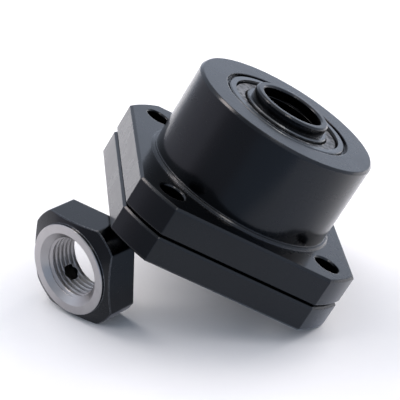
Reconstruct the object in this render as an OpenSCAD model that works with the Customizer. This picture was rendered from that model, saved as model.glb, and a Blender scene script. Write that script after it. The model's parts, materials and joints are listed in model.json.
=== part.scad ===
// Fixed-side end support for a ball screw with a 12 mm journal.
// A flanged housing holds two angular contact ball bearings, back to back, on both
// sides of an inner rib. A lid with the flange's outline clamps the rear bearing.
// The lock nut is taken off and lies under the lid's left edge, so that it props the unit.
//
// +Z runs along the bore from the lid to the nose. z = 0 is the flange's seating face,
// which goes against the machine, and the housing's body stands on it as the pilot.

/* [Flange and lid] */
// Width of the flange and the lid across their flats
flange_w = 44; // [42:0.5:50]
// Thickness of the flange
flange_t = 5.9; // [5.5:0.1:12]
// Thickness of the lid
lid_t = 5.3; // [5:0.1:12]
// Gap left between lid and flange, so that the lid clamps the bearing
lid_gap = 0.3; // [0.1:0.05:0.6]
// Chamfer on the outer edges of both plates
edge_chamfer = 0.4; // [0.1:0.1:0.8]
// Wall between the mounting screws' counterbores and the turned corners
corner_wall = 0.5; // [0.4:0.1:4]

/* [Housing body] */
// Diameter of the body, the pilot in the machine's bore
body_d = 36; // [33:0.5:38]
// Length of the body from the seating face to the nose
body_len = 17; // [15:0.5:40]
// Width of the chamfer around the nose
nose_chamfer = 0.4; // [0.1:0.1:1]
// Length of the chamfer around the nose
nose_chamfer_len = 0.5; // [0.2:0.1:2]
// How far the low ring at the body's foot stands out
foot_ring_out = 0.75; // [0.3:0.05:1.2]
// Height of the low ring at the body's foot
foot_ring_h = 0.5; // [0.2:0.1:1]

/* [Mounting holes] */
// Distance of the mounting holes' centres from the body
hole_offset = 4.5; // [4.2:0.1:5.5]
// Diameter of the mounting holes
hole_d = 4.8; // [3.5:0.1:5]
// Diameter of the counterbore for a screw head
head_bore_d = 8; // [6:0.1:8.6]
// Thickness of the lid left under a screw head
head_floor = 1.1; // [0.8:0.1:3]
// Chamfer at the mouth of each mounting hole
hole_chamfer = 0.25; // [0.1:0.05:0.5]

/* [Lid screws] */
// Wall between the lid screws' counterbores and the flats
lid_screw_wall = 1.4; // [0.8:0.1:2.4]
// Thread diameter of the lid screws
lid_screw_d = 3; // [2:0.5:3]
// Length of the lid screws under the head
lid_screw_len = 6; // [4:0.5:6.5]
// Head diameter of the lid screws
lid_head_d = 5.5; // [4:0.1:5.6]
// Head height of the lid screws
lid_head_h = 3; // [1.5:0.1:3.2]
// Width across the flats of their hexagon sockets
lid_socket_w = 2.5; // [1.5:0.1:2.5]
// Depth of their hexagon sockets
lid_socket_depth = 1.3; // [0.8:0.1:1.6]
// How far the heads lie below the lid's face
lid_head_sink = 0.3; // [0.1:0.1:0.6]

/* [Bearings] */
// Bore of the bearings, the journal's diameter
bearing_bore = 12; // [11:0.1:12.4]
// Outer diameter of the bearings
bearing_od = 24; // [23.6:0.1:25]
// Width of a bearing
bearing_w = 6; // [5.6:0.1:7]
// Diameter of a ball
ball_d = 3.572; // [3:0.01:3.7]
// Number of balls in a bearing
ball_count = 11; // [8:1:12]
// Height of the inner ring's high shoulder above the bottom of its groove
inner_high = 1.14; // [0.8:0.02:1.2]
// Height of the inner ring's low shoulder above the bottom of its groove
inner_low = 0.58; // [0.1:0.02:0.7]
// Height of the outer ring's high shoulder above the bottom of its groove
outer_high = 0.74; // [0.6:0.02:1]
// Height of the outer ring's low shoulder above the bottom of its groove
outer_low = 0.08; // [0.04:0.02:0.4]
// Radial play of a ball between its races
race_play = 0.05; // [0.02:0.01:0.1]
// Chamfer at the edges of the rings
ring_chamfer = 0.2; // [0.1:0.05:0.3]
// How far the front bearing lies below the nose
nose_recess = 0.1; // [0.05:0.05:0.5]
// How far the rear bearing lies below the flange's back face
back_recess = 0.7; // [0.4:0.1:1.5]
// Width of the relief around the front bearing, at the nose
seat_relief_w = 0.7; // [0.3:0.1:0.9]
// Depth of that relief below the nose
seat_relief_len = 0.8; // [0.4:0.1:1.2]

/* [Cages] */
// Radial gap between a cage and the rings' shoulders
cage_play = 0.3; // [0.2:0.02:0.5]
// Distance from the balls' centres to the cage's closed rim
cage_back = 2.4; // [2.1:0.1:2.6]
// Distance from the balls' centres to the tips of the cage's prongs
cage_front = 1.1; // [0.8:0.1:1.4]
// Play of a ball in its pocket, all round
pocket_play = 0.1; // [0.05:0.05:0.2]

/* [Collars and spacer] */
// Wall thickness of the collars
collar_wall = 1.45; // [1.2:0.05:2]
// How far the front collar stands out of the nose
front_collar_out = 1.9; // [0.5:0.1:4]
// How far the rear collar stands out of the lid
rear_collar_out = 1; // [0.5:0.1:3]
// Chamfer at the collars' outer ends
collar_chamfer = 0.3; // [0.1:0.05:0.5]
// Wall thickness of the spacer between the inner rings
spacer_wall = 2.2; // [1.2:0.1:2.8]

/* [Lid seal] */
// Radial gap between the rear collar and the lid around it
lid_bore_gap = 0.7; // [0.3:0.05:1]
// How far the seal reaches out past the lid's opening
seal_out = 1.6; // [1.2:0.1:2.2]
// Width of the seal
seal_w = 3.5; // [2.5:0.1:3.6]
// Thickness of the seal's jacket and web
seal_t = 0.9; // [0.6:0.1:1.1]
// Radial gap between the seal's lip and the collar
lip_gap = 0.1; // [0.05:0.05:0.3]

/* [Lock nut] */
// Width of the nut across its flats
nut_w = 19; // [18:0.25:21]
// How far the nut's turned corners stand out past its flats, as a circle around them
nut_corner_out = 1.7; // [0.8:0.1:3]
// Thickness of the nut
nut_t = 7.5; // [6.5:0.1:9]
// Pitch of the nut's thread, which has the journal's diameter
thread_pitch = 1; // [0.75:0.25:1.25]
// How far the countersink at the mouth of the thread reaches past the thread
nut_mouth_out = 1; // [0.3:0.05:1.2]
// Width of the nut's bare front face
nut_face_w = 1.65; // [1:0.05:2]
// How far the bare face stands out from the nut's turned cone
nut_boss_h = 0.7; // [0.3:0.1:1]
// Angle of the nut's turned front cone to its face
nut_cone_angle = 20; // [12:1:25]
// Diameter of the set screw and of its hole
set_screw_d = 3; // [3:0.5:4]
// Length of the set screw
set_screw_len = 3; // [2:0.5:3]
// Wall between the set screw's hole and the nut's back face
set_screw_wall = 1.1; // [0.4:0.1:1.5]
// Width across the flats of the set screw's hexagon socket
set_socket_w = 1.5; // [1.5:0.1:2]
// Depth of the set screw's hexagon socket
set_socket_depth = 1.4; // [0.8:0.1:1.8]
// Thickness of the soft piece under the set screw
set_piece_t = 1; // [0.5:0.1:1]
// How far the soft piece lies back from the thread
set_piece_back = 0.9; // [0.5:0.1:1]

/* [Nut under the unit] */
// Distance from the lid's left flat to the point where the lid rests on the nut
prop_inset = 2.7; // [1:0.05:4]
// Direction of the nut's front, turned about the upright from the flat's normal
nut_turn = -137.2; // [-150:0.1:-120]
// Sideways place of the middle of the nut's front face
nut_side = -10.9; // [-13:0.1:-8]
// Air between the lid and the nut that it leans on
prop_gap = 0.05; // [0.02:0.01:0.1]

/* [Hidden] */

$fn = 96;

// Flats and corners of the plates
corners = 4;

// Slip between a part and its seat, and overrun of a cut past a face
slip = 0.01;
over = 1;

// Plates
hole_circle_d = body_d + 2 * hole_offset;
corner_d = hole_circle_d + head_bore_d + 2 * corner_wall;
lid_head_bore_d = lid_head_d + 0.5;
lid_screw_circle_d = flange_w - 2 * lid_screw_wall - lid_head_bore_d;

// Heights along the bore
flange_back = -flange_t;
lid_top = flange_back - lid_gap;
lid_face = lid_top - lid_t;
front_face = body_len - nose_recess;
front_back = front_face - bearing_w;
rear_face = flange_back + back_recess;
rear_back = rear_face + bearing_w;
front_mid = front_face - bearing_w / 2;
rear_mid = rear_face + bearing_w / 2;

// Bearing races
pitch_r = (bearing_bore + bearing_od) / 4;
ball_r = ball_d / 2;
inner_race_r = pitch_r - ball_r - race_play;
outer_race_r = pitch_r + ball_r + race_play;
// The grooves' radius is 4 % over the ball's
groove_r = ball_r * 1.04;
inner_groove_at = inner_race_r + groove_r;
outer_groove_at = outer_race_r - groove_r;
inner_shoulder_r = inner_race_r + inner_high;
inner_relief_r = inner_race_r + inner_low;
outer_shoulder_r = outer_race_r - outer_high;
outer_relief_r = outer_race_r - outer_low;
cage_r0 = inner_shoulder_r + cage_play;
cage_r1 = outer_shoulder_r - cage_play;
cage_rim_r = outer_relief_r - cage_play;
// The cage's closed rim widens at this height over the balls' centres
cage_step = 0.7 * ball_r;

// Sleeves on the journal
collar_r = bearing_bore / 2 + collar_wall;
spacer_r = bearing_bore / 2 + spacer_wall;

// Lid
spigot_r = bearing_od / 2 - slip;
lid_bore_r = collar_r + lid_bore_gap;
seal_r = lid_bore_r + seal_out;
seal_floor = lid_top - seal_w;
lid_head_seat = lid_face + lid_head_sink + lid_head_h;
lid_screw_hole_d = lid_screw_d + 0.3;
tap_depth = lid_screw_len - (flange_back - lid_head_seat) + lid_screw_d / 4;

// The surface under the propped unit: it passes through the lid's lower right edge
prop_edge_x = flange_w / 2 - edge_chamfer;
prop_span = prop_edge_x + flange_w / 2 - prop_inset;
prop_angle = asin(nut_w / prop_span);

// Turned sizes of the nut, half the width of its flats, and its place on that surface
nut_corner_d = nut_w + 2 * nut_corner_out;
nut_bore_d = bearing_bore - 1.08 * thread_pitch;
nut_mouth_d = bearing_bore + 2 * nut_mouth_out;
nut_face_d = nut_mouth_d + 2 * nut_face_w;
nut_flat_half = sqrt(pow(nut_corner_d / 2, 2) - pow(nut_w / 2, 2));
nut_reach = -nut_t * cos(nut_turn) + nut_flat_half * abs(sin(nut_turn));
nut_along = -nut_w / tan(prop_angle) - nut_reach - prop_gap / sin(prop_angle);
nut_cone_len = nut_boss_h + (nut_corner_d - nut_face_d) / 2 * tan(nut_cone_angle);
nut_mouth_len = (nut_mouth_d - nut_bore_d) / 2;
// The set screw stands in the turned corner between two flats
set_screw_turn = 135;
set_screw_depth = nut_t - set_screw_wall - set_screw_d / 2;
set_piece_in = nut_bore_d / 2 + set_piece_back;

black = [0.09, 0.10, 0.12];
steel = [0.62, 0.63, 0.65];
bright_steel = [0.78, 0.79, 0.80];
rubber = [0.13, 0.12, 0.12];
polyamide = [0.45, 0.36, 0.25];
brass = [0.72, 0.58, 0.30];

// ---------- Shared shapes ----------

// Rectangle from r0 to r1 and z0 to z1, with its outer corners chamfered by c
module chamfered_section(r0, r1, z0, z1, c) {
    polygon([[r0, z0], [r1 - c, z0], [r1, z0 + c], [r1, z1 - c], [r1 - c, z1], [r0, z1]]);
}

// Plate with four flats and turned corners, its edges chamfered
module four_flat_plate(z0, z1, across, corner, c) {
    intersection() {
        rotate([90, 0, 90])
            linear_extrude(height = 2 * corner, center = true)
                flat_section(z0, z1, across, c);
        rotate([90, 0, 0])
            linear_extrude(height = 2 * corner, center = true)
                flat_section(z0, z1, across, c);
        rotate_extrude()
            chamfered_section(0, corner / 2, z0, z1, c);
    }
}

// Section of that plate from one flat to the opposite one
module flat_section(z0, z1, across, c) {
    h = across / 2;
    polygon([[-h + c, z0], [h - c, z0], [h, z0 + c], [h, z1 - c],
             [h - c, z1], [-h + c, z1], [-h, z1 - c], [-h, z0 + c]]);
}

// Children at the mounting holes, in the corners
module at_mounting_holes() {
    for (i = [0 : corners - 1])
        rotate(360 / corners * (i + 0.5))
            translate([hole_circle_d / 2, 0, 0])
                children();
}

// Children at the lid screws, at the middle of each flat
module at_lid_screws() {
    for (i = [0 : corners - 1])
        rotate(360 / corners * i)
            translate([lid_screw_circle_d / 2, 0, 0])
                children();
}

// Cut for a hole through a plate from z0 to z1
module hole(d, z0, z1) {
    translate([0, 0, z0 - over])
        cylinder(d = d, h = z1 - z0 + 2 * over);
}

// Cut for the chamfer around a hole's upper mouth at z1
module mouth_chamfer(d, z1, c) {
    translate([0, 0, z1 - c])
        cylinder(d1 = d, d2 = d + 2 * (c + over), h = c + over);
}

// Cut for a counterbore in the lid's face, as deep as depth
module counterbore(d, depth) {
    translate([0, 0, lid_face - over])
        cylinder(d = d, h = depth + over);
}

// Hexagon prism, measured across its flats
module hexagon(across, h) {
    cylinder(d = across / cos(30), h = h, $fn = 6);
}

// ---------- Housing and lid ----------

// Housing: flange, body, rib between the bearings and both bearing seats
module housing() {
    color(black)
        difference() {
            union() {
                four_flat_plate(flange_back, 0, flange_w, corner_d, edge_chamfer);
                housing_body();
            }
            bearing_seats();
            at_mounting_holes() {
                hole(hole_d, flange_back, 0);
                mouth_chamfer(hole_d, 0, hole_chamfer);
            }
            at_lid_screws()
                translate([0, 0, flange_back - over])
                    cylinder(d = lid_screw_d + 2 * slip, h = tap_depth + over);
        }
}

// Body above the flange, with its chamfered foot ring and the chamfer around its nose
module housing_body() {
    r = body_d / 2;
    ring_r = r + foot_ring_out;
    c = 0.6 * foot_ring_h;
    rotate_extrude()
        polygon([[0, -flange_t / 2], [ring_r, -flange_t / 2], [ring_r, foot_ring_h - c],
                 [ring_r - c, foot_ring_h], [r, foot_ring_h], [r, body_len - nose_chamfer_len],
                 [r - nose_chamfer, body_len], [0, body_len]]);
}

// Cut for both bearing seats, the bore through the rib and the relief at the nose
module bearing_seats() {
    seat_r = bearing_od / 2 + slip;
    rib_r = outer_shoulder_r;
    relief_r = seat_r + seat_relief_w;
    rotate_extrude()
        polygon([[0, flange_back - over], [seat_r, flange_back - over],
                 [seat_r, rear_back], [rib_r, rear_back],
                 [rib_r, front_back], [seat_r, front_back],
                 [seat_r, body_len - seat_relief_len],
                 [relief_r, body_len - seat_relief_len],
                 [relief_r, body_len + over], [0, body_len + over]]);
}

// Lid that clamps the rear bearing and holds the seal
module retaining_lid() {
    color(black)
        difference() {
            union() {
                four_flat_plate(lid_face, lid_top, flange_w, corner_d, edge_chamfer);
                translate([0, 0, lid_top - over])
                    cylinder(r = spigot_r, h = rear_face - lid_top + over);
            }
            translate([0, 0, lid_face - over])
                cylinder(r = lid_bore_r, h = lid_t + 2 * over);
            translate([0, 0, seal_floor])
                cylinder(r = seal_r + slip, h = rear_face - seal_floor + over);
            at_mounting_holes() {
                hole(hole_d, lid_face, lid_top);
                counterbore(head_bore_d, lid_t - head_floor);
            }
            at_lid_screws() {
                hole(lid_screw_hole_d, lid_face, lid_top);
                counterbore(lid_head_bore_d, lid_head_seat - lid_face);
            }
        }
}

// Socket head screws that hold the lid
module lid_screws() {
    color(black)
        at_lid_screws()
            socket_screw();
}

// One lid screw: head below the seat, shank above it
module socket_screw() {
    head_bottom = lid_head_seat - lid_head_h;
    difference() {
        union() {
            translate([0, 0, lid_head_seat])
                cylinder(d = lid_screw_d, h = lid_screw_len);
            rotate_extrude()
                chamfered_section(0, lid_head_d / 2, head_bottom, lid_head_seat, hole_chamfer);
        }
        translate([0, 0, head_bottom - over])
            hexagon(lid_socket_w, lid_socket_depth + over);
    }
}

// Lip seal in the lid, its lip just clear of the rear collar
module lid_seal() {
    in_r = collar_r + lip_gap;
    mid_z = seal_floor + seal_t;
    lip_foot_r = (in_r + seal_r) / 2;
    color(rubber)
        rotate_extrude()
            polygon([[lip_foot_r - seal_t / 2, seal_floor], [seal_r, seal_floor],
                     [seal_r, lid_top], [seal_r - seal_t, lid_top], [seal_r - seal_t, mid_z],
                     [lip_foot_r, mid_z], [in_r + seal_t, lid_top - seal_t],
                     [in_r + seal_t / 2, lid_top - seal_t / 2], [in_r, lid_top - seal_t]]);
}

// ---------- Bearings ----------

// Section of an inner ring. Its high shoulder faces the side given by out (1 or -1)
module inner_ring_section(mid, out) {
    h = bearing_w / 2;
    r0 = bearing_bore / 2;
    c = ring_chamfer;
    difference() {
        polygon([for (p = [[r0, -h + c], [r0 + c, -h], [inner_relief_r, -h],
                           [inner_relief_r, 0], [inner_shoulder_r, 0],
                           [inner_shoulder_r, h - c], [inner_shoulder_r - c, h],
                           [r0 + c, h], [r0, h - c]])
                 [p[0], mid + out * p[1]]]);
        translate([inner_groove_at, mid])
            circle(r = groove_r);
    }
}

// Section of an outer ring. Its low shoulder faces the side given by out (1 or -1)
module outer_ring_section(mid, out) {
    h = bearing_w / 2;
    r1 = bearing_od / 2;
    c = ring_chamfer;
    difference() {
        polygon([for (p = [[outer_shoulder_r, -h], [r1 - c, -h], [r1, -h + c],
                           [r1, h - c], [r1 - c, h], [outer_relief_r, h],
                           [outer_relief_r, 0], [outer_shoulder_r, 0]])
                 [p[0], mid + out * p[1]]]);
        translate([outer_groove_at, mid])
            circle(r = groove_r);
    }
}

// Balls of one bearing
module balls(mid) {
    for (i = [0 : ball_count - 1])
        rotate(360 / ball_count * i)
            translate([pitch_r, 0, mid])
                sphere(d = ball_d);
}

// Crown cage: prongs between the balls, and a closed rim on the side given by out, where
// the outer ring is wide open. A pocket for each ball is cut through it
module crown_cage(mid, out) {
    difference() {
        rotate_extrude()
            polygon([for (p = [[cage_r0, -cage_front], [cage_r1, -cage_front],
                               [cage_r1, cage_step], [cage_rim_r, cage_step],
                               [cage_rim_r, cage_back], [cage_r0, cage_back]])
                     [p[0], mid + out * p[1]]]);
        for (i = [0 : ball_count - 1])
            rotate(360 / ball_count * i)
                translate([cage_r0 - over, 0, mid])
                    rotate([0, 90, 0])
                        cylinder(d = ball_d + 2 * pocket_play, h = cage_rim_r - cage_r0 + 2 * over);
    }
}

// Front bearing, flush with the nose
module front_outer_ring() { color(steel) rotate_extrude() outer_ring_section(front_mid, 1); }
module front_inner_ring() { color(steel) rotate_extrude() inner_ring_section(front_mid, 1); }
module front_ball_cage() { color(polyamide) crown_cage(front_mid, 1); }
module front_balls() { color(bright_steel) balls(front_mid); }

// Rear bearing, under the lid
module rear_outer_ring() { color(steel) rotate_extrude() outer_ring_section(rear_mid, -1); }
module rear_inner_ring() { color(steel) rotate_extrude() inner_ring_section(rear_mid, -1); }
module rear_ball_cage() { color(polyamide) crown_cage(rear_mid, -1); }
module rear_balls() { color(bright_steel) balls(rear_mid); }

// ---------- Spacer and collars ----------

// Sleeve between the inner rings
module inner_spacer() {
    color(steel)
        translate([0, 0, rear_back])
            difference() {
                cylinder(r = spacer_r, h = front_back - rear_back);
                translate([0, 0, -over])
                    cylinder(d = bearing_bore, h = front_back - rear_back + 2 * over);
            }
}

// Collar from a bearing's face at z0 to its free end at z1, chamfered there
module collar(z0, z1) {
    c = collar_chamfer;
    side = sign(z1 - z0);
    r0 = bearing_bore / 2;
    r1 = collar_r;
    rotate_extrude()
        polygon([[r0, z0], [r1, z0], [r1, z1 - side * c], [r1 - c, z1],
                 [r0 + c, z1], [r0, z1 - side * c]]);
}

// Collar between the front bearing and the screw's shoulder
module front_collar() { color(black) collar(front_face, body_len + front_collar_out); }

// Collar between the rear bearing and the lock nut
module rear_collar() { color(black) collar(rear_face, lid_face - rear_collar_out); }

// ---------- Lock nut ----------

// Children of the nut's own frame, placed under the propped unit.
// In that frame the nut's front face is at z = 0, it looks along +Z and a flat faces +X
module nut_place() {
    translate([prop_edge_x, 0, lid_face])
        rotate([0, -prop_angle, 0])
            translate([nut_along, nut_side, nut_w / 2])
                rotate([0, 0, nut_turn])
                    rotate([180, 0, 0])
                        rotate([0, 90, 0])
                            children();
}

// Children of the set screw's frame: it looks outward along the radial hole
module set_screw_place() {
    rotate(set_screw_turn)
        translate([0, 0, -set_screw_depth])
            rotate([0, 90, 0])
                children();
}

// Lock nut: turned bar with four flats. Its bare face stands out from a shallow cone
module lock_nut() {
    r1 = nut_corner_d / 2;
    r0 = nut_bore_d / 2;
    color(black)
        nut_place()
            difference() {
                intersection() {
                    rotate_extrude()
                        polygon([[r0, -nut_t], [r1, -nut_t], [r1, -nut_cone_len],
                                 [nut_face_d / 2, -nut_boss_h], [nut_face_d / 2, 0],
                                 [nut_mouth_d / 2, 0], [r0, -nut_mouth_len]]);
                    translate([-nut_w / 2, -nut_w / 2, -nut_t - over])
                        cube([nut_w, nut_w, nut_t + 2 * over]);
                }
                set_screw_place()
                    cylinder(d = set_screw_d, h = nut_corner_d);
            }
}

// Hollow-ended set screw in the nut's corner
module set_screw() {
    start = set_piece_in + set_piece_t;
    color(black)
        nut_place()
            set_screw_place()
                translate([0, 0, start])
                    difference() {
                        rotate_extrude()
                            chamfered_section(0, set_screw_d / 2 - slip, 0, set_screw_len,
                                              hole_chamfer);
                        translate([0, 0, set_screw_len - set_socket_depth])
                            hexagon(set_socket_w, set_socket_depth + over);
                    }
}

// Soft piece between the set screw and the thread
module set_piece() {
    color(brass)
        nut_place()
            set_screw_place()
                translate([0, 0, set_piece_in])
                    cylinder(d = set_screw_d - 2 * slip, h = set_piece_t);
}

housing();
retaining_lid();
lid_screws();
lid_seal();
front_outer_ring();
front_inner_ring();
front_ball_cage();
front_balls();
rear_outer_ring();
rear_inner_ring();
rear_ball_cage();
rear_balls();
inner_spacer();
front_collar();
rear_collar();
lock_nut();
set_screw();
set_piece();
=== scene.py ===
"""Visual model of a ball screw end support with its loose lock nut.

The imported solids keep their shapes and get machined, oxidised, ground and moulded
finishes. The lock nut is made anew, with its real thread. The unit leans on that nut,
so the floor is the plane through the nut's lower flat and the lid's lower right edge.

Sizes are in millimetres and are turned to metres when a mesh or a lamp is made.
"""

import json
import logging
import math
from dataclasses import dataclass, replace
from enum import Enum

import bpy
import numpy as np
from mathutils import Matrix, Vector


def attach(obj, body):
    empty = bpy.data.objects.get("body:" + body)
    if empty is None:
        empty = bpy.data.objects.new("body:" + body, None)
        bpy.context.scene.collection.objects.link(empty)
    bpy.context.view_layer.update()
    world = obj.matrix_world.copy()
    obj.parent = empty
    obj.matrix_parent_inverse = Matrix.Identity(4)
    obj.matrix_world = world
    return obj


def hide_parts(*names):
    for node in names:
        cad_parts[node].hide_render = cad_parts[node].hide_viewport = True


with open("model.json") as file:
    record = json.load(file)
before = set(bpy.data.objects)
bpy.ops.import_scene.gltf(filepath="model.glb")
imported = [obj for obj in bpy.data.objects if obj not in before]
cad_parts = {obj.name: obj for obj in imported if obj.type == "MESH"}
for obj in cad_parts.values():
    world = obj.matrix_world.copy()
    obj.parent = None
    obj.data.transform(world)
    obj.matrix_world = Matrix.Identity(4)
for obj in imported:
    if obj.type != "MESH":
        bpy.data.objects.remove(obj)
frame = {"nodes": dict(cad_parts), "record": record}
log = logging.getLogger("end_support")

MM = 0.001
WHITE = (1.0, 1.0, 1.0, 1.0)
Measure = np.ndarray | float
Row = tuple[np.ndarray, np.ndarray]


# ---------- Small tools ----------


def linear(hex_colour: str) -> tuple[float, float, float, float]:
    """Turns an sRGB colour such as "#1c1f24" to the linear values that shaders use.

    Each channel below 0.04045 is divided by 12.92, and any other is raised to 2.4
    after an offset of 0.055.

    Args:
        hex_colour: Six hexadecimal digits after a hash.

    Returns:
        Linear red, green and blue, and an alpha of 1.
    """
    channels = np.array([int(hex_colour[i : i + 2], 16) for i in (1, 3, 5)]) / 255
    low = channels / 12.92
    high = ((channels + 0.055) / 1.055) ** 2.4
    red, green, blue = np.where(channels <= 0.04045, low, high)
    return float(red), float(green), float(blue), 1.0


def add_node(
    tree: bpy.types.NodeTree,
    kind: str,
    settings: dict[str, object] | None = None,
    values: dict[str | int, object] | None = None,
) -> bpy.types.Node:
    """Adds one node with its settings, input values and links.

    Args:
        tree: The node tree to add it to.
        kind: The node's type name without its ShaderNode, such as "Math".
        settings: Properties of the node, by name.
        values: Inputs by name or number. A socket as a value becomes a link.

    Returns:
        The new node.
    """
    node = tree.nodes.new("ShaderNode" + kind)
    for name, value in (settings or {}).items():
        setattr(node, name, value)
    for key, value in (values or {}).items():
        if isinstance(value, bpy.types.NodeSocket):
            tree.links.new(value, node.inputs[key])
        else:
            node.inputs[key].default_value = value
    return node


def new_tree(name: str) -> tuple[bpy.types.Material, bpy.types.NodeTree]:
    """Makes an empty node material.

    Args:
        name: The material's name.

    Returns:
        The material and its node tree.
    """
    material = bpy.data.materials.new(name)
    material.use_nodes = True
    material.node_tree.nodes.clear()
    return material, material.node_tree


def smooth_step(value: np.ndarray, low: Measure, high: Measure) -> np.ndarray:
    """Rises from 0 to 1 as three squares less two cubes of the share of the way.

    Args:
        value: What the step follows.
        low: Where the step starts.
        high: Where it ends.

    Returns:
        The height of the step at each value.
    """
    share = np.clip((value - low) / (high - low), 0.0, 1.0)
    return share * share * (3 - 2 * share)


def shown_rays(tree: bpy.types.NodeTree) -> bpy.types.NodeSocket:
    """Adds the mask of the rays that show a surface, straight, in gloss or through glass.

    Args:
        tree: The node tree to add it to.

    Returns:
        1 for those rays and 0 for the rays that only light a surface.
    """
    ray = add_node(tree, "LightPath")
    seen = add_node(
        tree,
        "Math",
        {"operation": "MAXIMUM"},
        {0: ray.outputs["Is Camera Ray"], 1: ray.outputs["Is Glossy Ray"]},
    )
    return add_node(
        tree,
        "Math",
        {"operation": "MAXIMUM"},
        {0: seen.outputs[0], 1: ray.outputs["Is Transmission Ray"]},
    ).outputs[0]


def dress(nodes: tuple[str, ...], material: bpy.types.Material) -> None:
    """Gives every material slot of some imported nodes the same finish.

    Args:
        nodes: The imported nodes' names.
        material: The finish.
    """
    for node in nodes:
        slots = frame["nodes"][node].data.materials
        for index in range(len(slots)):
            slots[index] = material
        log.info("%s: %s", node, material.name)


def grid_mesh(
    name: str,
    points: np.ndarray,
    closed: tuple[bool, bool],
    slots: np.ndarray | None = None,
    pattern: np.ndarray | None = None,
    crease_deg: float = 28.0,
) -> bpy.types.Object:
    """Makes an object from a grid of points, with quads between neighbours.

    Vertex (row i, column j) has the index i times the columns plus j, and each quad
    joins (i, j), (i + 1, j), (i + 1, j + 1) and (i, j + 1), so it faces the way of the
    row direction crossed with the column direction. A closed direction wraps its last
    row or column back to the first.

    Args:
        name: The object's name.
        points: Array of rows by columns by 3, in metres.
        closed: Whether the rows, and the columns, wrap round.
        slots: Material index of each row of quads.
        pattern: Array of (rows + 1) by (columns + 1) by 2 with the UV of each grid
            line, the wrapped ones included.
        crease_deg: Edges sharper than this stay sharp in shading.

    Returns:
        The linked object.
    """
    rows, columns = points.shape[:2]
    i = np.arange(rows if closed[0] else rows - 1)[:, None]
    j = np.arange(columns if closed[1] else columns - 1)[None, :]
    i1, j1 = (i + 1) % rows, (j + 1) % columns
    quads = np.stack(
        [i * columns + j, i1 * columns + j, i1 * columns + j1, i * columns + j1], axis=-1
    )
    mesh = bpy.data.meshes.new(name)
    mesh.from_pydata(points.reshape(-1, 3).tolist(), [], quads.reshape(-1, 4).tolist())
    count = quads.shape[0] * quads.shape[1]
    if slots is not None:
        per_quad = np.repeat(slots, quads.shape[1]).astype(np.int32)
        mesh.polygons.foreach_set("material_index", per_quad)
    if pattern is not None:
        around = [pattern[i, j], pattern[i + 1, j], pattern[i + 1, j + 1], pattern[i, j + 1]]
        layer = mesh.uv_layers.new(name="turning")
        layer.data.foreach_set("uv", np.stack(around, axis=-2).astype(np.float32).ravel())
    mesh.polygons.foreach_set("use_smooth", np.ones(count, bool))
    mesh.set_sharp_from_angle(angle=math.radians(crease_deg))
    mesh.validate()
    made = bpy.data.objects.new(name, mesh)
    bpy.context.scene.collection.objects.link(made)
    return made


# ---------- Finishes ----------


class MarkPath(Enum):
    """Which way the tool left its marks on a metal surface."""

    TURNED_ON_Z = "rings on faces across Z and bands on walls along Z"
    ALONG_PROFILE = "bands along the second UV direction, in millimetres"


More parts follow.
